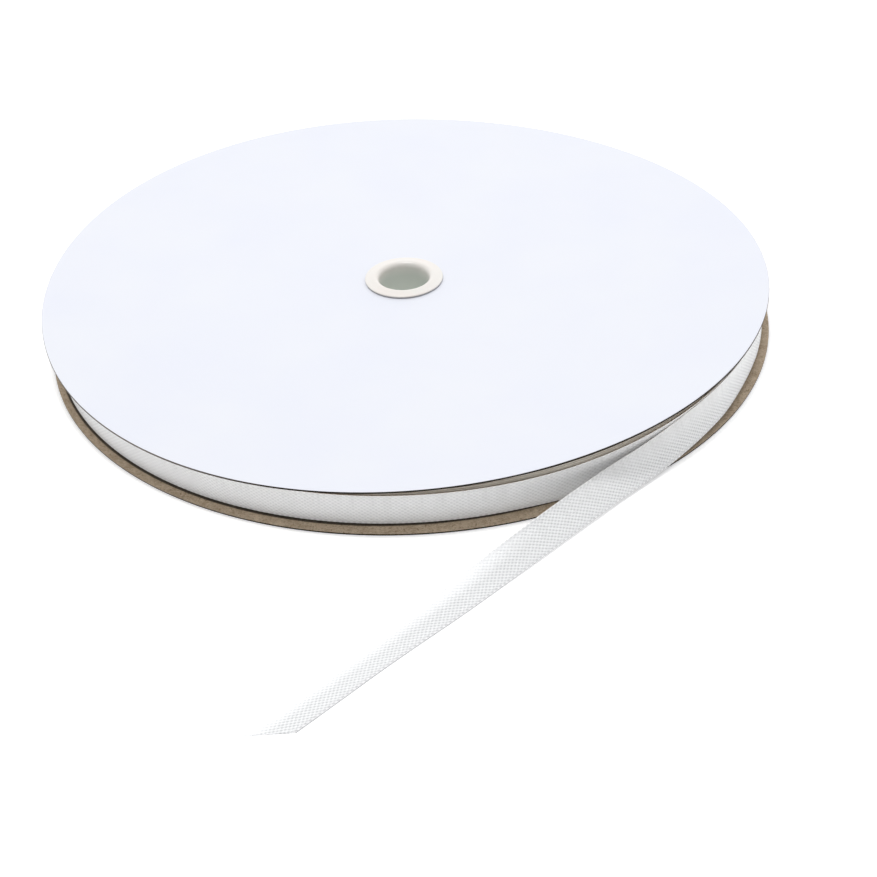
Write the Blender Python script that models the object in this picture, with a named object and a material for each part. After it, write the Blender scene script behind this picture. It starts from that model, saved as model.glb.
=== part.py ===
# A flat card reel of woven seam binding, lying on its side with its loose end run out
#
# The reel is two thin card discs held apart by a plastic hub. The tape is wound round
# the hub on edge, and its outer end leaves the pack at the right front, crosses the rim
# of the lower disc and twists down until it lies flat. Metres, +Z up, floor at z = 0.
# The origin is the centre of the footprint. Directions are counted from +X.

import math

import bmesh
import bpy
from mathutils import Vector

# Reel
AXIS = Vector((-0.0002, 0.0373, 0.0))
REEL_HEIGHT = 0.0146
CARD = 0.0006
FIT_GAP = 0.0003
TOP_RADIUS = 0.115
TOP_SHIFT = Vector((0.0002, 0.0012, 0.0))
TOP_TWIST = -0.0016
TOP_RINGS = (0.022, 0.045, 0.068, 0.092)
BOTTOM_RADIUS = 0.114
BOTTOM_SHIFT = Vector((0.0014, -0.0008, 0.0))

# Hub
BORE_RADIUS = 0.0079
TUBE_RADIUS = 0.0090
HUB_FLANGE_RADIUS = 0.0127
HUB_FLANGE = 0.0009
MOUTH_ROUND = 0.0027
EDGE_ROUND = 0.0004
CARD_HOLE_RADIUS = TUBE_RADIUS + FIT_GAP
RECESS_FLAT_RADIUS = 0.0136
RECESS_EDGE_RADIUS = 0.0220
RECESS_CLEARANCE = 0.0060

# Tape and its wound pack
TAPE_WIDTH = 0.0098
TURN_THICKNESS = 0.0004
PACK_RADIUS = 0.1120
PACK_SHIFT = Vector((0.0010, 0.0011, 0.0))
PACK_ROUND = 0.0005
PACK_SWELL = 0.00012
PACK_DIP = 0.0001
PACK_GAP = 0.0005
PACK_BOTTOM = CARD + PACK_GAP
LIFT_OFF = math.radians(-46.2)

# Loose end, built thicker than the tape itself
TAIL_LINE = 0.1117
TAIL_THICKNESS = 0.0010
TAIL_STEPS = 64
TAIL_CUT_Y = -0.1535

# Every row is one station of the tail's outer edge, in millimetres and degrees: distance
# past the lift-off point, distance out from the tangent line TAIL_LINE away from the
# pack's centre, height of the lowest corner, and lean of the top edge towards the reel.
TAIL_STATIONS = (
    # past, out, height, lean
    (-24.0, -1.42, 1.1, 0.0),
    (-16.0, 0.05, 1.1, 0.0),
    (-8.0, 1.10, 1.1, 1.0),
    (0.0, 2.10, 1.1, 6.0),
    (8.0, 3.10, 1.2, 14.0),
    (20.0, 3.60, 1.2, 25.0),
    (35.0, 4.00, 0.9, 37.0),
    (52.0, 4.40, 0.5, 48.0),
    (68.0, 4.30, 0.1, 58.0),
    (84.0, 4.10, 0.0, 70.0),
    (100.0, 4.00, 0.0, 79.0),
    (116.0, 3.60, 0.0, 86.0),
    (134.0, 3.40, 0.0, 90.0),
    (152.0, 3.60, 0.0, 90.0),
    (178.0, 3.60, 0.0, 90.0),
)

CARD_SEGMENTS = 120
PACK_SEGMENTS = 144
HUB_SEGMENTS = 64


def clear_scene():
    """Take every object out of the file that Blender opened with."""
    for item in list(bpy.data.objects):
        bpy.data.objects.remove(item, do_unlink=True)


def make_material(name, colour, roughness):
    """A plain surface of one colour, with nothing metallic in it."""
    material = bpy.data.materials.new(name)
    material.use_nodes = True
    shader = material.node_tree.nodes["Principled BSDF"]
    shader.inputs["Base Color"].default_value = (*colour, 1.0)
    shader.inputs["Roughness"].default_value = roughness
    shader.inputs["Metallic"].default_value = 0.0
    material.diffuse_color = (*colour, 1.0)
    return material


def add_object(name, mesh_data, material):
    """Turn a finished bmesh into a named object with outward faces and smooth sides."""
    bmesh.ops.recalc_face_normals(mesh_data, faces=mesh_data.faces)
    mesh = bpy.data.meshes.new(name)
    mesh_data.to_mesh(mesh)
    mesh_data.free()
    mesh.materials.append(material)
    mesh.shade_smooth()
    mesh.set_sharp_from_angle(angle=math.radians(35))
    item = bpy.data.objects.new(name, mesh)
    bpy.context.scene.collection.objects.link(item)
    return item


def turned(profile, segments, place):
    """Turn a closed profile of (radius, height) rows; place() says where a point lies."""
    solid = bmesh.new()
    rings = []
    for radius, height in profile:
        angles = [math.tau * step / segments for step in range(segments)]
        rings.append([solid.verts.new(place(radius, angle, height)) for angle in angles])
    for ring, following in zip(rings, rings[1:] + rings[:1]):
        for step in range(segments):
            after = (step + 1) % segments
            solid.faces.new((ring[step], ring[after], following[after], following[step]))
    return solid


def outward(angle, radius=1.0):
    """A level vector of the given length in the given direction."""
    return Vector((math.cos(angle), math.sin(angle), 0.0)) * radius


def share_at(radius, full_radius):
    """How far out a ring lies: 0 near the hub, where nothing is off centre, 1 at the rim."""
    return max(0.0, (radius - RECESS_EDGE_RADIUS) / (full_radius - RECESS_EDGE_RADIUS))


def ring_point(centre, radius, angle, height):
    """A point on a level ring round the given centre."""
    return centre + outward(angle, radius) + Vector((0.0, 0.0, height))


def arc(centre, radius, start, end, steps):
    """Points of a round corner as (radius, height) rows, angles in degrees."""
    angles = [math.radians(start + (end - start) * step / steps) for step in range(steps + 1)]
    return [(centre[0] + radius * math.cos(a), centre[1] + radius * math.sin(a)) for a in angles]


def build_bottom_flange(material):
    """The lower card, pressed up round the hub so that the hub's flange sits flush."""
    seat = HUB_FLANGE + FIT_GAP
    profile = (
        (CARD_HOLE_RADIUS, seat),
        (RECESS_FLAT_RADIUS, seat),
        (RECESS_EDGE_RADIUS, 0.0),
        (BOTTOM_RADIUS, 0.0),
        (BOTTOM_RADIUS, CARD),
        (RECESS_EDGE_RADIUS, CARD),
        (RECESS_FLAT_RADIUS, seat + CARD),
        (CARD_HOLE_RADIUS, seat + CARD),
    )

    def place(radius, angle, height):
        centre = AXIS + BOTTOM_SHIFT * share_at(radius, BOTTOM_RADIUS)
        return ring_point(centre, radius, angle, height)

    return add_object("flange_bottom", turned(profile, CARD_SEGMENTS, place), material)


def build_top_flange(material):
    """The upper card, a little larger, off centre and twisted, as card reels warp."""
    radii = (CARD_HOLE_RADIUS, *TOP_RINGS, TOP_RADIUS)
    under = [(radius, REEL_HEIGHT - CARD) for radius in radii]
    upper = [(radius, REEL_HEIGHT) for radius in reversed(radii)]

    def place(radius, angle, height):
        share = share_at(radius, TOP_RADIUS)
        warp = TOP_TWIST * share**2 * math.sin(2.0 * angle)
        return ring_point(AXIS + TOP_SHIFT * share, radius, angle, height + warp)

    return add_object("flange_top", turned(under + upper, CARD_SEGMENTS, place), material)


def build_hub(material):
    """The plastic hub: a tube with a thin flange and a rounded mouth at each end."""
    top = REEL_HEIGHT + FIT_GAP + HUB_FLANGE
    rim = HUB_FLANGE_RADIUS - EDGE_ROUND
    mouth_centre = (BORE_RADIUS + MOUTH_ROUND, top - MOUTH_ROUND)
    upper = [(TUBE_RADIUS, top - HUB_FLANGE), (rim, top - HUB_FLANGE)]
    upper += arc((rim, top - EDGE_ROUND), EDGE_ROUND, -30.0, 90.0, 4)
    upper += arc(mouth_centre, MOUTH_ROUND, 90.0, 180.0, 7)
    lower = [(radius, top - height) for radius, height in reversed(upper)]

    def place(radius, angle, height):
        return ring_point(AXIS, radius, angle, height)

    return add_object("hub", turned(upper + lower, HUB_SEGMENTS, place), material)


def pack_wobble(angle):
    """Slight unevenness of the wound pack, from -1 to 1."""
    return 0.6 * math.sin(3.0 * angle + 0.7) + 0.4 * math.sin(7.0 * angle + 2.1)


def build_winding(material):
    """The wound tape as one ring, stepped by one turn where the loose end leaves it."""
    top = PACK_BOTTOM + TAPE_WIDTH
    raised = HUB_FLANGE + CARD + 2.0 * FIT_GAP
    corner = PACK_RADIUS - PACK_ROUND
    profile = [(CARD_HOLE_RADIUS, raised), (RECESS_FLAT_RADIUS + RECESS_CLEARANCE, raised)]
    profile.append((RECESS_EDGE_RADIUS + RECESS_CLEARANCE, PACK_BOTTOM))
    profile += arc((corner, PACK_BOTTOM + PACK_ROUND), PACK_ROUND, -90.0, 0.0, 2)
    profile += arc((corner, top - PACK_ROUND), PACK_ROUND, 0.0, 90.0, 2)
    profile.append((CARD_HOLE_RADIUS, top))

    def place(radius, angle, height):
        share = share_at(radius, PACK_RADIUS)
        wound_on = ((LIFT_OFF - angle) / math.tau) % 1.0
        step = TURN_THICKNESS * (wound_on - 1.0)
        swell = PACK_SWELL * pack_wobble(angle)
        if height > REEL_HEIGHT / 2.0:
            height -= PACK_DIP * share * (1.0 + pack_wobble(2.0 * angle))
        return ring_point(AXIS + PACK_SHIFT * share, radius + share * (step + swell), angle, height)

    return add_object("winding", turned(profile, PACK_SEGMENTS, place), material)


def smooth_row(rows, position):
    """Read the station table between its rows, on a smooth curve through them."""
    index = max(0, min(len(rows) - 2, sum(position > row[0] for row in rows) - 1))
    first, second = rows[index], rows[index + 1]
    before = rows[max(index - 1, 0)]
    after = rows[min(index + 2, len(rows) - 1)]
    span = second[0] - first[0]
    t = (position - first[0]) / span
    values = []
    for column in range(1, len(first)):
        slope_in = (second[column] - before[column]) / (second[0] - before[0]) * span
        slope_out = (after[column] - first[column]) / (after[0] - first[0]) * span
        values.append(
            (2 * t**3 - 3 * t**2 + 1) * first[column]
            + (t**3 - 2 * t**2 + t) * slope_in
            + (3 * t**2 - 2 * t**3) * second[column]
            + (t**3 - t**2) * slope_out
        )
    return values


def tail_section(past_mm):
    """Four corners of the tail across its width at one station."""
    out_mm, height_mm, lean_degrees = smooth_row(TAIL_STATIONS, past_mm)
    outer = outward(LIFT_OFF)
    heading = outward(LIFT_OFF - math.pi / 2.0)
    lean = math.radians(min(lean_degrees, 90.0))
    across = Vector((0.0, 0.0, 1.0)) * math.cos(lean) - outer * math.sin(lean)
    face = Vector((0.0, 0.0, 1.0)) * math.sin(lean) + outer * math.cos(lean)
    half = TAIL_THICKNESS / 2.0
    foot = AXIS + PACK_SHIFT + heading * past_mm * 0.001
    foot = foot + outer * (TAIL_LINE + out_mm * 0.001)
    foot = foot + Vector((0.0, 0.0, max(height_mm, 0.0) * 0.001 + half * math.sin(lean)))
    corners = ((0.0, half), (0.0, -half), (TAPE_WIDTH, -half), (TAPE_WIDTH, half))
    return [foot + across * width + face * depth for width, depth in corners]


def build_tail(material):
    """The loose end: on edge at the pack, flat on the floor at its cut end."""
    solid = bmesh.new()
    start, end = TAIL_STATIONS[0][0], TAIL_STATIONS[-1][0]
    places = [start + (end - start) * step / TAIL_STEPS for step in range(TAIL_STEPS + 1)]
    rings = [[solid.verts.new(corner) for corner in tail_section(place)] for place in places]
    for ring, following in zip(rings, rings[1:]):
        for side in range(4):
            after = (side + 1) % 4
            solid.faces.new((ring[side], ring[after], following[after], following[side]))
    solid.faces.new(rings[0])
    solid.faces.new(rings[-1])
    cut = bmesh.ops.bisect_plane(
        solid,
        geom=solid.verts[:] + solid.edges[:] + solid.faces[:],
        dist=1e-6,
        plane_co=(0.0, TAIL_CUT_Y, 0.0),
        plane_no=(0.0, -1.0, 0.0),
        clear_outer=True,
    )
    edges = [item for item in cut["geom_cut"] if isinstance(item, bmesh.types.BMEdge)]
    bmesh.ops.contextual_create(solid, geom=edges)
    return add_object("tail", solid, material)


clear_scene()
build_bottom_flange(make_material("kraft_card", (0.42, 0.33, 0.24), 0.85))
build_top_flange(make_material("white_card", (0.90, 0.91, 0.94), 0.50))
build_hub(make_material("hub_plastic", (0.90, 0.88, 0.82), 0.35))
build_winding(make_material("wound_tape", (0.80, 0.80, 0.78), 0.80))
build_tail(make_material("loose_tape", (0.88, 0.88, 0.88), 0.80))
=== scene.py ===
import math

import bmesh
import bpy
from mathutils import Matrix, Vector, noise


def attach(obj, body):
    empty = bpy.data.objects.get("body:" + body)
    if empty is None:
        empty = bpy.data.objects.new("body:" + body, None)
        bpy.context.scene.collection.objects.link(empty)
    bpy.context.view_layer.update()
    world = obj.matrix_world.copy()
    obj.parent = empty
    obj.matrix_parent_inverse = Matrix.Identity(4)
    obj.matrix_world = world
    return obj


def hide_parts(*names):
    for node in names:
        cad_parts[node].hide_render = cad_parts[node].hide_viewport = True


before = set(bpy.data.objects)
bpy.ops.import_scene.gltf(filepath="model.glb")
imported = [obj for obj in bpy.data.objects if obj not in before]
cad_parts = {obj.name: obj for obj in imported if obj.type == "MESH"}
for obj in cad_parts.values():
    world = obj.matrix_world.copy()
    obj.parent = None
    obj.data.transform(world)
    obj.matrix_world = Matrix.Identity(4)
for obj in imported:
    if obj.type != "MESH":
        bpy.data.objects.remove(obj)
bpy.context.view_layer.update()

# Lower board. A die-cut disc of white-lined kraft card, brown on the side that faces the
# tape. It is pressed up round its hole, so that the hub's lower flange stays clear of the
# table, and its white lining is on the underside.
SPINDLE = Vector((-0.0002, 0.0373, 0.0))  # the reel's upright axis, on the table
CARD = 0.0006
LOWER_CENTRE = SPINDLE + Vector((0.0014, -0.0008, 0))
LOWER_RADIUS = 0.114
HUB_HOLE = 0.0093
PRESSED_HEIGHT = 0.0012
PRESSED_RADIUS = 0.0136  # the card is level at that height out to here
PRESSED_EDGE = 0.0220  # and lies on the table from here
FREE_RADIUS = 0.100  # further in, the hub draws a piece true to the spindle
PACK_CENTRE = SPINDLE + Vector((0.0010, 0.0011, 0))  # the wound tape, a little off centre
PACK_RADIUS = 0.1120  # where the loose end leaves it
BOARD_STEPS = 240
RIM = (  # (in from the rim, up from the plain side) of the die-cut edge, rounded over on top
    (0.00060, 0.0), (0.00011, 0.0), (0.00003, 0.00005), (0.0, 0.00014), (0.0, 0.00030),
    (0.00001, 0.00042), (0.00004, 0.00051), (0.00010, 0.00057), (0.00021, CARD), (0.00070, CARD))
RINGS = (  # radii at which the card can bend, close together over the pressed slope
    HUB_HOLE, 0.0097, 0.0130, PRESSED_RADIUS, 0.0148, 0.0160, 0.0180, 0.0198, 0.0212,
    PRESSED_EDGE, 0.034, 0.055, 0.080, FREE_RADIUS)
KRAFT, LINING, EDGE = range(3)  # the order of a board's finishes


def turned(outline, steps):
    """A closed outline of (radius, height) points, turned once round the spindle."""
    bm = bmesh.new()
    points = [bm.verts.new(SPINDLE + Vector((radius, 0, height))) for radius, height in outline]
    ring = [bm.edges.new(pair) for pair in zip(points, points[1:] + points[:1])]
    bmesh.ops.spin(bm, geom=points + ring, cent=SPINDLE, axis=(0, 0, 1), angle=math.tau,
                   steps=steps, use_merge=True)
    bmesh.ops.remove_doubles(bm, verts=bm.verts, dist=1e-6)
    bmesh.ops.recalc_face_normals(bm, faces=bm.faces)
    return bm


def off_centre(bm, centre):
    """Shifts a piece turned round the spindle to its own centre, but not near the hub."""
    for vert in bm.verts:
        reach = (vert.co - SPINDLE).xy.length
        share = min(max((reach - PRESSED_EDGE) / (FREE_RADIUS - PRESSED_EDGE), 0.0), 1.0)
        vert.co.xy += (centre - SPINDLE).xy * share


def in_scene(name, data):
    """A new object that shows data."""
    thing = bpy.data.objects.new(name, data)
    bpy.context.scene.collection.objects.link(thing)
    return thing


def made_piece(name, bm, finishes, crease=38):
    """The bmesh as an object with smooth faces, which stay sharp past crease degrees."""
    for face in bm.faces:
        face.smooth = True
    for edge in bm.edges:
        edge.smooth = len(edge.link_faces) == 2 and edge.calc_face_angle() < math.radians(crease)
    mesh = bpy.data.meshes.new(name)
    bm.to_mesh(mesh)
    bm.free()
    for finish in finishes:
        mesh.materials.append(finish)
    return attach(in_scene(name, mesh), "root")


class Finish:
    """A material with one Principled shader, and short calls for the nodes that feed it."""

    def __init__(self, name, colour, roughness):
        self.material = bpy.data.materials.new(name)
        self.material.use_nodes = True
        self.nodes = self.material.node_tree.nodes
        self.links = self.material.node_tree.links
        self.shader = self.nodes["Principled BSDF"]
        self.set(self.shader, "Base Color", (*colour, 1))
        self.set(self.shader, "Roughness", roughness)

    def set(self, node, socket, value):
        """Links a socket to another one, or gives it a constant."""
        if isinstance(value, bpy.types.NodeSocket):
            self.links.new(value, node.inputs[socket])
        else:
            node.inputs[socket].default_value = value

    def add(self, kind, out=0, settings=(), **inputs):
        """A new node's output; inputs are given by name, or as i0, i1, i2 by number."""
        node = self.nodes.new("ShaderNode" + kind)
        for key, value in dict(settings).items():
            setattr(node, key, value)
        for key, value in inputs.items():
            numbered = key[0] == "i" and key[1:].isdigit()
            self.set(node, int(key[1:]) if numbered else key, value)
        return node.outputs[out]

    def maths(self, operation, first, second=0.0, third=0.0):
        return self.add("Math", 0, {"operation": operation}, i0=first, i1=second, i2=third)

    def vector(self, operation, first, second=(0, 0, 0), out=0):
        """Vector maths; out is 1 for a length or a dot product."""
        return self.add("VectorMath", out, {"operation": operation}, i0=first, i1=second)

    def place(self, centre, scale=(1, 1, 1)):
        """Object coordinates, measured from centre."""
        here = self.add("TexCoord", out=3)
        return self.vector("MULTIPLY", self.vector("SUBTRACT", here, centre), scale)

    def reach(self, centre):
        """Distance from the upright line at centre."""
        return self.vector("LENGTH", self.place(centre, (1, 1, 0)), out=1)

    def speckle(self, where, size, detail, rough):
        """Noise of a size in metres, from 0 to 1."""
        return self.add("TexNoise", Vector=where, Scale=1.0 / size, Detail=detail, Roughness=rough)

    def spread(self, value, low, high, start=0.0, end=1.0):
        """value from low to high, drawn out to start to end and held there."""
        return self.add("MapRange", **{"Value": value, "From Min": low, "From Max": high,
                                       "To Min": start, "To Max": end})

    def blend(self, share, first, second):
        """first at a share of 0, second at 1; a colour is three numbers or a socket."""
        node = self.nodes.new("ShaderNodeMix")
        node.data_type = "RGBA"
        for socket, value in ((0, share), (6, first), (7, second)):
            if isinstance(value, tuple):
                value = (*value, 1)
            self.set(node, socket, value)
        return node.outputs[2]

    def tinted(self, colour, value, low, high, share, tint):
        """colour with a share of tint over it, which comes on as value goes from low to high."""
        return self.blend(self.spread(value, low, high, 0.0, share), colour, tint)

    def raised(self, height, depth):
        return self.add("Bump", Strength=1.0, Distance=depth, Height=height)

    def finished(self, colour=None, roughness=None, normal=None):
        """The material, with the shader fed by what is given."""
        for socket, value in (("Base Color", colour), ("Roughness", roughness), ("Normal", normal)):
            if value is not None:
                self.set(self.shader, socket, value)
        return self.material


def kraft_paper():
    """Unbleached fibre: soft blotches, short lying fibres and dark shives, with painted shade at
    the tape's foot.
    """
    paper = Finish("kraft_paper", (0.48, 0.375, 0.265), 0.82)
    paper.set(paper.shader, "Specular IOR Level", 0.25)
    where = paper.place(SPINDLE)
    blotch = paper.speckle(where, 0.0034, 3.0, 0.6)
    mottle = paper.speckle(where, 0.0011, 3.0, 0.6)
    fibre = paper.speckle(paper.place(SPINDLE, (1.0, 2.6, 1.0)), 0.0009, 4.0, 0.65)
    shive = paper.speckle(paper.place(SPINDLE, (2.2, 1.0, 1.0)), 0.0013, 2.0, 0.5)
    grit = paper.speckle(where, 0.0005, 2.0, 0.6)
    colour = paper.blend(paper.spread(blotch, 0.36, 0.66),
                         (0.425, 0.330, 0.230), (0.575, 0.465, 0.337))
    colour = paper.tinted(colour, mottle, 0.38, 0.64, 0.5, (0.325, 0.242, 0.163))
    colour = paper.tinted(colour, fibre, 0.44, 0.66, 0.6, (0.68, 0.565, 0.425))
    colour = paper.tinted(colour, shive, 0.64, 0.72, 0.7, (0.17, 0.115, 0.07))
    colour = paper.tinted(colour, grit, 0.52, 0.70, 0.6, (0.20, 0.145, 0.095))
    # painted shade: a near-black line on the card at the tape's foot, standing for the shadow under
    # it, which narrows from the left of the reel to the right
    narrowing = paper.spread(paper.add("SeparateXYZ", Vector=where), -0.02, 0.05, 0.00035, -0.0005)
    foot_shade_reach = paper.maths("SUBTRACT", paper.reach(PACK_CENTRE), narrowing)
    colour = paper.blend(paper.spread(foot_shade_reach, PACK_RADIUS - 0.0002, PACK_RADIUS + 0.0001, 0.85, 0.0),
                         colour, (0.016, 0.013, 0.010))
    return paper.finished(colour=colour, roughness=paper.spread(fibre, 0.2, 0.8, 0.72, 0.92),
                          normal=paper.raised(fibre, 0.00008))


def white_lining():
    """Bleached paper under a thin gloss film, with the card's slow unevenness showing through."""
    paper = Finish("white_lining", (0.72, 0.735, 0.79), 0.42)
    where = paper.place(SPINDLE)
    cloud = paper.speckle(where, 0.024, 2.0, 0.45)
    grain = paper.speckle(where, 0.0016, 4.0, 0.55)
    colour = paper.blend(paper.spread(cloud, 0.3, 0.7),
                         (0.686, 0.700, 0.763), (0.704, 0.716, 0.761))
    colour = paper.tinted(colour, grain, 0.25, 0.75, 0.25, (0.720, 0.730, 0.765))
    return paper.finished(colour=colour, roughness=paper.spread(grain, 0.2, 0.8, 0.36, 0.50),
                          normal=paper.raised(grain, 0.000012))


def cut_edge():
    """The card's die-cut side: crushed grey-brown plies, with painted shade darkening it along the
    front.
    """
    edge = Finish("cut_card_edge", (0.05, 0.037, 0.027), 0.85)
    edge.set(edge.shader, "Specular IOR Level", 0.15)
    ply = edge.spread(edge.speckle(edge.place(SPINDLE, (1.0, 1.0, 14.0)), 0.0017, 4.0, 0.6),
                      0.32, 0.68)
    crumb = edge.speckle(edge.place(SPINDLE), 0.00045, 3.0, 0.6)
    # painted shade: the edge is darker along the front of the reel and paler towards the back
    to_the_back = edge.vector("DOT_PRODUCT", edge.place(SPINDLE), (-0.27, 1.0, 0.0), out=1)
    front_shade = edge.blend(ply, (0.006, 0.004, 0.003), (0.034, 0.026, 0.018))
    unshaded_edge = edge.blend(ply, (0.13, 0.112, 0.098), (0.20, 0.178, 0.160))
    colour = edge.blend(edge.spread(to_the_back, -0.098, -0.062), front_shade, unshaded_edge)
    colour = edge.tinted(colour, crumb, 0.58, 0.78, 0.5, (0.16, 0.13, 0.10))
    return edge.finished(colour=colour, normal=edge.raised(crumb, 0.00008))


def board_outline(radius, lining_on_top):
    """The card's section, with the rounded edge on the side of the white lining."""
    rim = [(radius - inset, height) for inset, height in RIM]
    if not lining_on_top:
        rim = [(r, CARD - height) for r, height in reversed(rim)]
    return [(r, 0.0) for r in RINGS] + rim + [(r, CARD) for r in reversed(RINGS)]


def eased(share):
    """share held between 0 and 1, with a soft start and end."""
    share = min(max(share, 0.0), 1.0)
    return share * share * (3 - 2 * share)


def pressed_up(radius):
    """How far the lower card is pressed up, at a radius."""
    return PRESSED_HEIGHT * eased((PRESSED_EDGE - radius) / (PRESSED_EDGE - PRESSED_RADIUS))


def lined(bm, lining_side):
    """Gives each face of a board its paper, with the white lining up (1) or down (-1)."""
    bm.normal_update()
    for face in bm.faces:
        reach = (face.calc_center_median() - SPINDLE).xy.length
        least_upright = 0.5 if reach < PRESSED_EDGE else 0.75  # the normal of a paper face
        if abs(face.normal.z) < least_upright:
            face.material_index = EDGE
        else:
            face.material_index = LINING if face.normal.z * lining_side > 0 else KRAFT


board_finishes = (kraft_paper(), white_lining(), cut_edge())
bm = turned(board_outline(LOWER_RADIUS, False), BOARD_STEPS)
for vert in bm.verts:
    vert.co.z += pressed_up((vert.co - SPINDLE).xy.length)
off_centre(bm, LOWER_CENTRE)
lined(bm, -1)
lower_board = made_piece("lower_board", bm, board_finishes)
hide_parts("flange_bottom")

# Hub. Two moulded halves of off-white plastic, pressed together through both boards into
# one tube that runs on a rack's spindle. A flange with a rounded mouth at each end clamps
# the boards, and the tape is wound on the tube between them.
BORE = 0.0079
TUBE = 0.0090
HUB_TOP = 0.0158
HUB_FLANGE = 0.0009
HUB_STEPS = 144
UNDER_FLANGE = (TUBE, 0.0108, 0.0122)  # radii of the flat side that clamps the board
MOUTH = (  # (radius, depth below the hub's top) from the flange's rim over the lip into the bore
    (0.01232, 0.00086), (0.01240, 0.00074), (0.01241, 0.00060), (0.01236, 0.00048),
    (0.01224, 0.00040), (0.01206, 0.00036), (0.01170, 0.00033), (0.01120, 0.00028),
    (0.01070, 0.00021), (0.01020, 0.00012), (0.00980, 0.00005), (0.00945, 0.00000),
    (0.00910, 0.00003), (0.00880, 0.00013), (0.00852, 0.00030), (0.00828, 0.00054),
    (0.00809, 0.00086), (0.00797, 0.00126), (0.00791, 0.00176), (0.00790, 0.00240))


def moulded_plastic():
    """Off-white polypropylene with a satin skin, greyer down the bore with painted shade."""
    plastic = Finish("moulded_plastic", (0.755, 0.735, 0.69), 0.34)
    where = plastic.place(SPINDLE)
    cloud = plastic.speckle(where, 0.009, 2.0, 0.5)
    skin = plastic.speckle(where, 0.0005, 3.0, 0.5)
    height = plastic.add("SeparateXYZ", out=2, Vector=where)
    colour = plastic.blend(plastic.spread(cloud, 0.35, 0.65),
                           (0.725, 0.703, 0.662), (0.735, 0.687, 0.642))
    # painted shade: greyer and greener below the mouth, down the bore
    colour = plastic.blend(plastic.spread(height, HUB_TOP - 0.0045, HUB_TOP - 0.0008),
                           (0.60, 0.63, 0.58), colour)
    return plastic.finished(colour=colour, roughness=plastic.spread(skin, 0.2, 0.8, 0.28, 0.42),
                            normal=plastic.raised(skin, 0.000008))


hub_outline = [(r, HUB_TOP - HUB_FLANGE) for r in UNDER_FLANGE]
hub_outline += [(r, HUB_TOP - depth) for r, depth in MOUTH]
mirrored = [(r, HUB_TOP - height) for r, height in reversed(hub_outline)]
hub_outline += [(BORE, HUB_TOP / 2)] + mirrored
bm = turned(hub_outline, HUB_STEPS)
hub_tube = made_piece("hub_tube", bm, (moulded_plastic(),), crease=50)
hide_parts("hub")

# Wound tape. About 90 m of the tape, wound on edge round the hub in some 240 turns, so
# its upper and lower faces are the tape's selvages side by side. The outermost turns are
# cut one by one here, each a little higher or lower than the last.
TAPE_WIDTH = 0.0098  # drawn in a little by the winding tension
TAPE_THICKNESS = 0.00032
TURN = 0.0004  # from one turn to the next
LIFT_OFF = math.radians(-46.2)  # which way from the pack's centre the loose end leaves it
HIDDEN_START = math.radians(390)  # how far back along the winding the outermost piece starts
PACK_STEPS = 240
PACK_FOOT = 0.00105  # how high the lower selvage lies
OVER_PRESSED = 0.0023  # how much higher it lies over the pressed-up middle of the board
SLOPE = (0.0196, 0.0285)  # the radii between which it comes down again
PROUD = 0.00008  # how far the upper selvages stand above the tape's nominal width
SHOWN_TURNS = 20
TURN_SECTION = (  # (in from the turn's face, how deep the groove is there)
    (0.0, 0.00030), (0.00002, 0.00010), (0.00009, 0.0), (0.00024, 0.0), (0.00031, 0.00012),
    (0.00034, 0.00050))
SHOULDER = 0.00075  # how much lower the last turns lie than the inner ones
SHOULDER_TURNS = 4
PLAIN_SECTION = ((0.085, 0.0), (0.060, 0.0001), (0.030, 0.0))  # (radius, dip) further in
UNEVEN = 0.00006  # how far a turn strays up or down


def winding_radius(back):
    """The middle of the tape's thickness, at an angle back along the winding from the lift-off."""
    return PACK_RADIUS - TAPE_THICKNESS / 2 - TURN * back / math.tau


outer = winding_radius(HIDDEN_START) + TAPE_THICKNESS / 2
section = []  # (radius, how deep the groove between two turns, how far the turn stands up)
for turn in range(SHOWN_TURNS):
    lift = SHOULDER * eased((turn + 1) / SHOULDER_TURNS)
    lift += UNEVEN * noise.noise((turn * 0.73, 4.2, 0.0))
    section += [(outer - turn * TURN - inset, groove, lift) for inset, groove in TURN_SECTION]
section.append((outer - SHOWN_TURNS * TURN - 0.0002, 0.00005, SHOULDER))
section += [(radius, dip, SHOULDER) for radius, dip in PLAIN_SECTION]
crown = PACK_FOOT + TAPE_WIDTH + PROUD
pack_outline = [(r, crown + lift - dip) for r, dip, lift in section]
pack_outline += [(HUB_HOLE, crown + SHOULDER), (HUB_HOLE, PACK_FOOT + OVER_PRESSED),
                 (SLOPE[0], PACK_FOOT + OVER_PRESSED), (SLOPE[1], PACK_FOOT + SHOULDER)]
pack_outline += [(r, PACK_FOOT + lift + dip) for r, dip, lift in reversed(section[:-1])]


def tape_edges():
    """The selvages seen side by side: fine rings, a turn apart, in cream and beige that paint the
    warm light bounced off the kraft.
    """
    edges = Finish("tape_edges", (0.62, 0.56, 0.46), 0.88)
    where = edges.place(PACK_CENTRE)
    turns = edges.maths("DIVIDE", edges.reach(PACK_CENTRE), TURN)
    drift = edges.maths("MULTIPLY", edges.speckle(where, 0.03, 2.0, 0.5), 1.5)
    ridge = edges.maths("MULTIPLY", edges.maths("ADD", turns, drift), math.tau)
    ridge = edges.maths("SINE", ridge)
    yarn = edges.speckle(where, 0.0005, 4.0, 0.6)
    # painted light: the beige stands for light bounced off the kraft boards onto the white selvages
    colour = edges.blend(edges.spread(ridge, -1.0, 0.4), (0.84, 0.79, 0.69), (0.97, 0.94, 0.87))
    colour = edges.tinted(colour, yarn, 0.3, 0.7, 0.4, (0.98, 0.96, 0.91))
    return edges.finished(colour=colour, normal=edges.raised(ridge, 0.00006))


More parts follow.
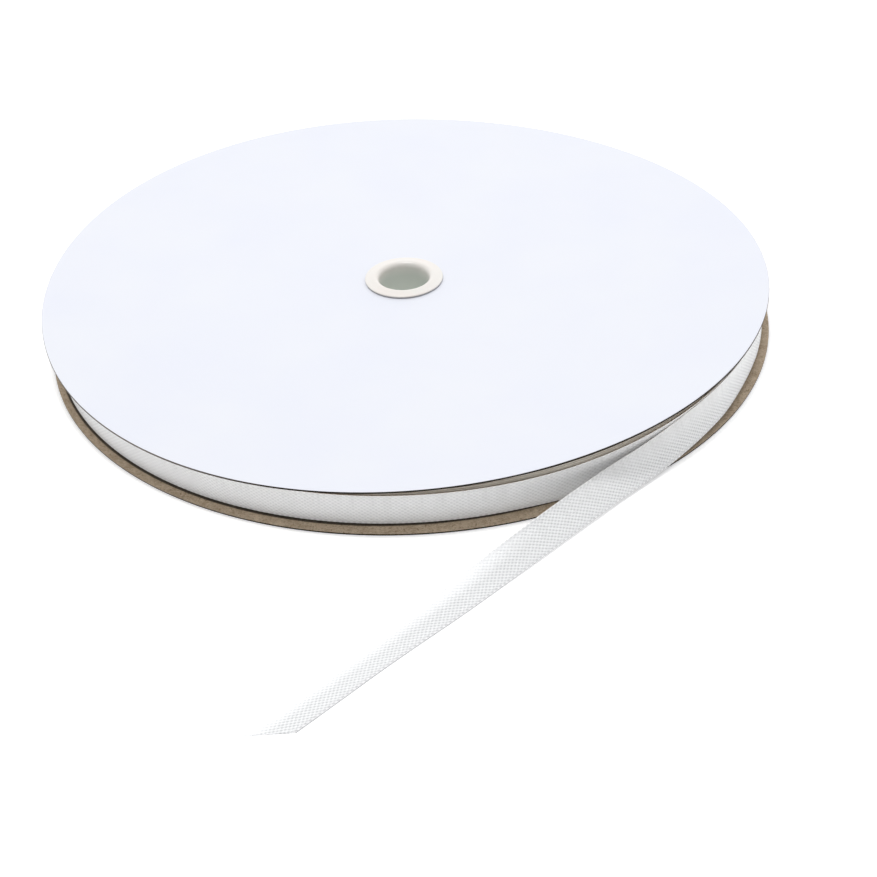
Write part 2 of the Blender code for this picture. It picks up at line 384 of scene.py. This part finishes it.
bm = turned(pack_outline, PACK_STEPS)
off_centre(bm, PACK_CENTRE)
for vert in bm.verts:
    arm = vert.co - PACK_CENTRE
    reach = arm.xy.length
    if reach > FREE_RADIUS:
        wound_on = (math.atan2(arm.y, arm.x) - LIFT_OFF - HIDDEN_START) % math.tau / math.tau
        sway = UNEVEN * noise.noise(Vector((arm.x, arm.y, reach * 9)) * 45)
        vert.co.xy = PACK_CENTRE.xy + arm.xy * (1 - TURN * wound_on / reach)
        vert.co.z += sway
wound_pack = made_piece("wound_pack", bm, (tape_edges(),), crease=60)
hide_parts("winding")

# Seam binding. The outermost turn and the loose end are one length of the tape: bleached
# yarn in a plain weave, 17 warp ends across and a pick every 0.8 mm, with the weft turned
# back at both selvages. It leaves the pack, twists over and lies flat on the table.
PICK = 0.0008
ENDS = 17
RELIEF = 0.00005  # how far a thread stands out where it crosses over
VALLEY = 0.00003  # how much lower the tape lies between two ends
WEFT_LOOP = 0.00006  # how far the weft stands out where it turns back
PAST, OUT, RAISED, LEAN = range(4)
LOOSE_END = (  # past the lift-off, out from the tangent, lower edge's height (mm), lean (degrees)
    (-46.0, -9.10, 1.60, 2.9), (-40.0, -6.53, 1.63, 2.6), (-34.0, -4.25, 1.66, 3.0),
    (-28.0, -2.15, 1.70, 5.4), (-22.0, -0.25, 1.72, 9.5), (-16.0, 1.25, 1.71, 12.7),
    (-10.0, 2.30, 1.70, 15.0), (-5.0, 3.05, 1.68, 17.4), (0.0, 3.60, 1.63, 20.2),
    (5.0, 4.00, 1.50, 22.6), (10.0, 4.27, 1.35, 24.8), (15.0, 4.37, 1.18, 26.9),
    (20.0, 4.33, 1.03, 28.9), (25.0, 4.20, 0.90, 31.8), (30.0, 4.08, 0.80, 35.7),
    (35.0, 4.02, 0.73, 39.0), (42.0, 4.09, 0.64, 44.0), (50.0, 4.13, 0.55, 48.5),
    (66.0, 4.20, 0.35, 57.0), (84.0, 4.10, 0.05, 71.0), (100.0, 4.00, 0.02, 80.0),
    (114.0, 3.60, 0.02, 86.0), (128.0, 3.40, 0.02, 90.0), (142.0, 3.50, 0.02, 90.0),
    (157.4, 3.60, 0.02, 90.0), (182.0, 3.60, 0.02, 90.0))
TANGENT = 0.11154  # from the pack's centre to the line that the loose end is measured from
CUT_Y = -0.1535  # the level line along which the end is cut
STRAY = 0.00008  # how far the last turn strays up or down
# each of these comes on between two angles back, in radians, and goes off between two more
FLARE = 0.00035  # how far the last turn stands off at its top, across the front
FLARE_COMES, FLARE_GOES = (4.8, 5.1), (6.0, 5.7)
FOOT_OUT = 0.0005  # and at its foot, where the loose end pulls on it at the right
FOOT_UP = 0.00055
PULL_COMES = (1.75, 1.05)
SLACK_OUT = 0.0018  # how far the foot of the turn before stands out behind the loose end
SLACK_COMES, SLACK_GOES = (5.75, 6.10), (6.50, 6.15)
RIDE_UP = 0.0007  # and how much higher it lies there
RIDE_COMES = (5.85, 6.20)
RUNG = 0.001  # how closely the route is drawn
CLOSE_PICKS = 20  # how many picks before the loose end the mesh gets closer
UP = Vector((0, 0, 1))
outward = Vector((math.cos(LIFT_OFF), math.sin(LIFT_OFF), 0))
heading = Vector((math.cos(LIFT_OFF - math.pi / 2), math.sin(LIFT_OFF - math.pi / 2), 0))


def from_table(past, column):
    """A smooth curve through one column of the loose end's table."""
    last = len(LOOSE_END) - 1
    k = max(i for i in range(last) if LOOSE_END[i][PAST] <= past or i == 0)
    before, start, end, after = (LOOSE_END[min(max(k + i, 0), last)] for i in (-1, 0, 1, 2))
    span = end[PAST] - start[PAST]
    slope_in = (end[column] - before[column]) / (end[PAST] - before[PAST])
    slope_out = (after[column] - start[column]) / (after[PAST] - start[PAST])
    t = (past - start[PAST]) / span
    leaving = (2 * t ** 3 - 3 * t ** 2 + 1) * start[column]
    leaving += (t ** 3 - 2 * t ** 2 + t) * span * slope_in
    arriving = (3 * t ** 2 - 2 * t ** 3) * end[column]
    arriving += (t ** 3 - t ** 2) * span * slope_out
    return leaving + arriving


def coming_on(back, start, full):
    """0 at the angle start, 1 at the angle full and eased between; either may be the larger."""
    return eased((back - start) / (full - start))


def on_pack(back):
    """The tape's lower edge and the way across it, at an angle back from the lift-off."""
    angle = LIFT_OFF + back
    arm = Vector((math.cos(angle), math.sin(angle), 0))
    sway = STRAY * noise.noise((math.cos(angle) * 2.2, math.sin(angle) * 2.2, 7.0))
    pulled = coming_on(back, *PULL_COMES)
    slack = coming_on(back, *SLACK_COMES) * coming_on(back, *SLACK_GOES)
    flare = FLARE * coming_on(back, *FLARE_COMES) * coming_on(back, *FLARE_GOES)
    stand = FOOT_OUT * pulled + SLACK_OUT * slack
    foot = PACK_CENTRE + arm * (winding_radius(back) + stand)
    foot += UP * (PACK_FOOT + FOOT_UP * pulled + RIDE_UP * coming_on(back, *RIDE_COMES) + sway)
    return foot, (UP * TAPE_WIDTH + arm * (flare - stand)).normalized()


def on_table(past):
    """The same for the loose end, at a distance past the lift-off in millimetres."""
    lean = math.radians(min(from_table(past, LEAN), 90.0))
    foot = PACK_CENTRE + heading * past / 1000
    foot += outward * (TANGENT + from_table(past, OUT) / 1000)
    foot.z = from_table(past, RAISED) / 1000 + TAPE_THICKNESS / 2 * max(math.sin(lean), 0.0)
    return foot, UP * math.cos(lean) - outward * math.sin(lean)


first, last = LOOSE_END[0][PAST], LOOSE_END[-1][PAST]
leaves = math.asin(-first / 1000 / PACK_RADIUS)  # the angle at which the tape leaves the circle
count = int((HIDDEN_START - leaves) * PACK_RADIUS / RUNG)
rungs = [on_pack(HIDDEN_START + (leaves - HIDDEN_START) * i / count) for i in range(count)]
rungs += [on_table(first + i * RUNG * 1000) for i in range(int((last - first) / (RUNG * 1000)))]
mid = [foot + across * TAPE_WIDTH / 2 for foot, across in rungs]
run = [0.0]  # the length along the tape's middle at each rung
for a, b in zip(mid, mid[1:]):
    run.append(run[-1] + (b - a).length)
turn_length = run[count]


def rung_at(along):
    """Lower edge, way across and outward face of the tape, at a length along it."""
    k = min(sum(length <= along for length in run) - 1, len(run) - 3)
    t = (along - run[k]) / (run[k + 1] - run[k])
    (foot, across), (next_foot, next_across) = rungs[k], rungs[k + 1]
    across = across.lerp(next_across, t).normalized()
    ahead = mid[k + 2] - mid[max(k - 1, 0)]
    return foot.lerp(next_foot, t), across, across.cross(ahead).normalized()


# one column of vertices to a pick on the pack, and two from shortly before the loose end
stops = [(k + 0.5) * PICK for k in range(int(turn_length / PICK) - CLOSE_PICKS)]
while stops[-1] < run[-1] - 2 * RUNG:
    stops.append(stops[-1] + PICK / 2)
places = [rung_at(along) for along in stops]

bm = bmesh.new()
rows = 2 * ENDS
bmesh.ops.create_grid(bm, x_segments=len(stops) - 1, y_segments=rows, size=0.5)
pattern = bm.loops.layers.uv.new("weave")
column_of = bm.verts.layers.int.new("column")
row_of = bm.verts.layers.int.new("row")
for vert in bm.verts:
    column = round((vert.co.x + 0.5) * (len(stops) - 1))
    row = round((vert.co.y + 0.5) * rows)
    vert[column_of], vert[row_of] = column, row
    foot, across, face = places[column]
    width = TAPE_WIDTH * row / rows
    weft = math.sin(math.pi * stops[column] / PICK)
    wave = weft * math.sin(math.pi * width * ENDS / TAPE_WIDTH)
    if row == 0:
        width -= WEFT_LOOP * (0.5 + 0.5 * weft)
    elif row == rows:
        width += WEFT_LOOP * (0.5 - 0.5 * weft)
    valley = 0 if row % 2 else VALLEY
    vert.co = foot + across * width + face * (TAPE_THICKNESS / 2 + RELIEF * wave - valley)

# the back: both selvages are drawn down by the tape's thickness and bridged
selvages = [e for e in bm.edges if e.is_boundary and e.verts[0][row_of] == e.verts[1][row_of]]
made = bmesh.ops.extrude_edge_only(bm, edges=selvages)["geom"]
for vert in [g for g in made if isinstance(g, bmesh.types.BMVert)]:
    foot, across, face = places[vert[column_of]]
    vert.co = foot + across * TAPE_WIDTH * vert[row_of] / rows - face * TAPE_THICKNESS / 2
chains = [g for g in made if isinstance(g, bmesh.types.BMEdge) and g.is_boundary
          and g.verts[0][column_of] != g.verts[1][column_of]]
backing = bmesh.ops.bridge_loops(bm, edges=chains)["faces"]
for face in bm.faces:
    for corner in face.loops:
        corner[pattern].uv = (corner.vert[row_of] * TAPE_WIDTH * 1000 / rows,
                              stops[corner.vert[column_of]] * 1000)
joined = [v for v in bm.verts if (v[column_of] + v[row_of]) % 2 and len(v.link_faces) > 3]
bmesh.ops.connect_verts(bm, verts=joined)
cross_edges = dict.fromkeys(e for f in backing if f.is_valid for e in f.edges
                            if e.verts[0][row_of] != e.verts[1][row_of])
bmesh.ops.subdivide_edges(bm, edges=list(cross_edges), cuts=3)
bmesh.ops.holes_fill(bm, edges=[e for e in bm.edges if e.is_boundary], sides=0)
bmesh.ops.bisect_plane(bm, geom=bm.verts[:] + bm.edges[:] + bm.faces[:], plane_co=(0, CUT_Y, 0),
                       plane_no=(0, -1, 0), clear_outer=True)
bmesh.ops.holes_fill(bm, edges=[e for e in bm.edges if e.is_boundary], sides=0)
bmesh.ops.recalc_face_normals(bm, faces=bm.faces)


def plain_weave():
    """Bleached yarn in a plain weave, drawn on the tape's own map, in millimetres."""
    cloth = Finish("plain_weave", (0.80, 0.80, 0.79), 0.74)
    cloth.set(cloth.shader, "Subsurface Weight", 0.35)
    cloth.set(cloth.shader, "Subsurface Radius", (1.0, 1.0, 1.0))
    cloth.set(cloth.shader, "Subsurface Scale", 0.0003)
    split = cloth.add("SeparateXYZ", Vector=cloth.add("UVMap", settings={"uv_map": "weave"})).node
    width, along = split.outputs[0], split.outputs[1]
    full_width = TAPE_WIDTH * 1000

    def past_turn(start, end, low=0.0, high=1.0):
        """low to high between two lengths past the end of the turn, in metres."""
        return cloth.spread(along, (turn_length + start) * 1000, (turn_length + end) * 1000,
                            low, high)

    def product(first, second):
        return cloth.maths("MULTIPLY", first, second)

    # threads: where they cross over, the grooves between ends and the dents between picks
    picks = cloth.maths("DIVIDE", along, PICK * 1000)
    ends = product(width, ENDS / full_width)
    pick_turn, end_turn = product(picks, math.pi), product(ends, math.pi)
    pick_wave, end_wave = cloth.maths("SINE", pick_turn), cloth.maths("SINE", end_turn)
    slant = product(cloth.maths("COSINE", pick_turn), cloth.maths("COSINE", end_turn))
    over = cloth.maths("MULTIPLY_ADD", slant, 0.16, product(pick_wave, end_wave))
    over = cloth.spread(over, -0.62, -0.05)
    groove = cloth.spread(cloth.maths("ABSOLUTE", end_wave), 0.0, 0.60, 1.0, 0.0)
    dent = cloth.spread(cloth.maths("ABSOLUTE", pick_wave), 0.0, 0.40, 1.0, 0.0)

    # yarn: each crossing and each pick a little different, and fibres along both
    pick_number, end_number = cloth.maths("FLOOR", picks), cloth.maths("FLOOR", ends)
    lot = cloth.add("TexWhiteNoise", Vector=cloth.add("CombineXYZ", X=pick_number, Y=end_number))
    pick_lot = cloth.add("TexWhiteNoise", settings={"noise_dimensions": "1D"}, W=pick_number)
    drawn_out = cloth.vector("MULTIPLY", cloth.add("CombineXYZ", X=width, Y=along), (14, 3, 1))
    fibre = cloth.add("TexNoise", Scale=1.0, Detail=2.0, Vector=drawn_out)

    # evened: the weave's pattern and relief are flattened and lightened on the upper half of the
    # tape round the turn, and on all of it a little
    upper = cloth.spread(width, 3.5, 8.0)
    smooth = product(upper, past_turn(0.055, 0.100, 1.0, 0.0))
    smooth = product(smooth, past_turn(-0.010, 0.030, 0.5, 0.95))
    smooth = cloth.maths("MAXIMUM", smooth, past_turn(-0.010, 0.030, 0.42, 0.0))
    open_weave = cloth.maths("SUBTRACT", 1.0, smooth)

    near_rim = cloth.maths("MINIMUM", width, cloth.maths("SUBTRACT", full_width, width))
    tick = cloth.spread(pick_wave, -0.5, 0.5, 0.1, 0.9)  # the weft's turns along the selvage
    weave = cloth.blend(cloth.spread(near_rim, 0.45, 1.0, 1.0, 0.0), over, tick)
    weave = cloth.blend(smooth, weave, (0.95, 0.95, 0.95))
    # painted shade: the weave is darker where a thread dips under the next, and darker still in the
    # grooves between ends and the dents between picks
    colour = cloth.blend(weave, (0.580, 0.582, 0.586), (0.845, 0.848, 0.847))
    for dip in (groove, dent):
        share = product(product(dip, 0.12), open_weave)
        colour = cloth.blend(share, colour, (0.33, 0.33, 0.325))
    colour = cloth.tinted(colour, lot, 0.0, 1.0, 0.14, (0.56, 0.56, 0.555))
    streak = product(cloth.spread(pick_lot, 0.5, 1.0, 0.0, 0.22), upper)
    colour = cloth.blend(streak, colour, (0.56, 0.56, 0.55))
    colour = cloth.tinted(colour, fibre, 0.35, 0.7, 0.18, (0.92, 0.92, 0.915))
    # painted light: the upper half of the end lying on the table washed out near white
    painted_light_fade = product(cloth.spread(width, 4.6, 8.6, 0.0, 0.85), past_turn(0.108, 0.138))
    colour = cloth.blend(painted_light_fade, colour, (0.985, 0.988, 0.990))

    # selvages: pale, grey along the lower one, and brown along the upper one on the reel
    colour = cloth.blend(cloth.spread(near_rim, 0.10, 0.30, 0.55, 0.0), colour,
                         (0.92, 0.91, 0.885))
    # painted shade: a grey line along the lower selvage, standing for the shade under its edge
    colour = cloth.blend(cloth.spread(width, 0.04, 0.16, 0.8, 0.0), colour, (0.42, 0.42, 0.43))
    # painted shade: the upper selvage of the wound turn darkened brown, under the upper board's
    # overhang
    top_edge_shade = product(cloth.spread(width, full_width - 0.15, full_width - 0.03, 0.0, 0.8),
                     past_turn(-0.08, -0.03, 1.0, 0.0))
    colour = cloth.blend(top_edge_shade, colour, (0.40, 0.32, 0.25))

    bulge = product(cloth.maths("SUBTRACT", over, product(groove, 0.6)), open_weave)
    height = cloth.maths("ADD", bulge, product(fibre, 0.25))
    return cloth.finished(colour=colour, normal=cloth.raised(height, 0.00008))


tape = made_piece("tape", bm, (plain_weave(),), crease=50)
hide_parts("tail")

# Upper board. The same card as the lower one, with its white lining on top. It has
# warped a little, two sides up and two down, and its edge stands past the tape.
UPPER_RADIUS = 0.115
UPPER_CENTRE = SPINDLE + Vector((0.0002, 0.0012, 0))
REEL_HEIGHT = 0.0146
TWIST = -0.0016  # how far the rim goes up or down
bm = turned(board_outline(UPPER_RADIUS, True), BOARD_STEPS)
for vert in bm.verts:
    arm = (vert.co - SPINDLE).xy
    share = max(arm.length - PRESSED_EDGE, 0.0) / (UPPER_RADIUS - PRESSED_EDGE)
    vert.co.z += REEL_HEIGHT - CARD + TWIST * share ** 2 * math.sin(2 * math.atan2(arm.y, arm.x))
off_centre(bm, UPPER_CENTRE)
lined(bm, 1)
upper_board = made_piece("upper_board", bm, board_finishes)
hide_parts("flange_top")

# Studio. A white acrylic table that is faintly lit from below, a soft sky that is brighter
# behind the reel and low down than in front and overhead, one small lamp above, and a
# camera over the front edge with a long lens.
TABLE_SIZE = 20.0
TABLE_GLOW = 0.35
SKY_LEVEL = 0.95
SKY_TILT = (0.08, 0.435, -0.19)  # how much brighter it is towards the right, the back and the top
LAMP_PLACE = (-0.13, 0.16, 1.4)
LAMP_SIZE = 0.2
LAMP_POWER = 8.8
CAMERA_PLACE = (-0.0002, -0.51094, 0.33404)
CAMERA_TURN = (  # its columns are the camera's right, its up and its back
    (0.99819, 0.05878, -0.01259), (-0.04392, 0.57019, -0.82034), (-0.04104, 0.81941, 0.57174))
FOCAL_LENGTH = 81.50  # millimetres, on a sensor 36 mm wide
bpy.context.scene.view_settings.view_transform = "Standard"

bm = bmesh.new()
bmesh.ops.create_grid(bm, x_segments=1, y_segments=1, size=TABLE_SIZE)
mesh = bpy.data.meshes.new("table")
bm.to_mesh(mesh)
bm.free()
acrylic = Finish("lit_white_acrylic", (0.94, 0.94, 0.94), 0.9)
acrylic.set(acrylic.shader, "Emission Color", (1, 1, 1, 1))
acrylic.set(acrylic.shader, "Emission Strength", TABLE_GLOW)
mesh.materials.append(acrylic.finished())
in_scene("table", mesh)

world = bpy.data.worlds.new("studio")
bpy.context.scene.world = world
world.use_nodes = True
sky = world.node_tree.nodes
towards = sky.new("ShaderNodeTexCoord").outputs[0]
tilt = sky.new("ShaderNodeVectorMath")
tilt.operation = "DOT_PRODUCT"
tilt.inputs[1].default_value = SKY_TILT
level = sky.new("ShaderNodeMath")
level.operation = "ADD"
level.inputs[1].default_value = SKY_LEVEL
sky["Background"].inputs[0].default_value = (0.97, 0.98, 1.0, 1)
for source, socket in ((towards, tilt.inputs[0]), (tilt.outputs[1], level.inputs[0]),
                       (level.outputs[0], sky["Background"].inputs[1])):
    world.node_tree.links.new(source, socket)

lamp = bpy.data.lights.new("overhead", "AREA")
lamp.shape = "SQUARE"
lamp.size = LAMP_SIZE
lamp.energy = LAMP_POWER
overhead = in_scene("overhead", lamp)
overhead.location = LAMP_PLACE
overhead.rotation_euler = (-Vector(LAMP_PLACE)).to_track_quat("-Z", "Y").to_euler()

lens = bpy.data.cameras.new("camera")
lens.sensor_width = 36.0
lens.lens = FOCAL_LENGTH
lens.clip_end = 3 * TABLE_SIZE
camera = in_scene("camera", lens)
camera.matrix_world = Matrix.Translation(CAMERA_PLACE) @ Matrix(CAMERA_TURN).to_4x4()
bpy.context.scene.camera = camera
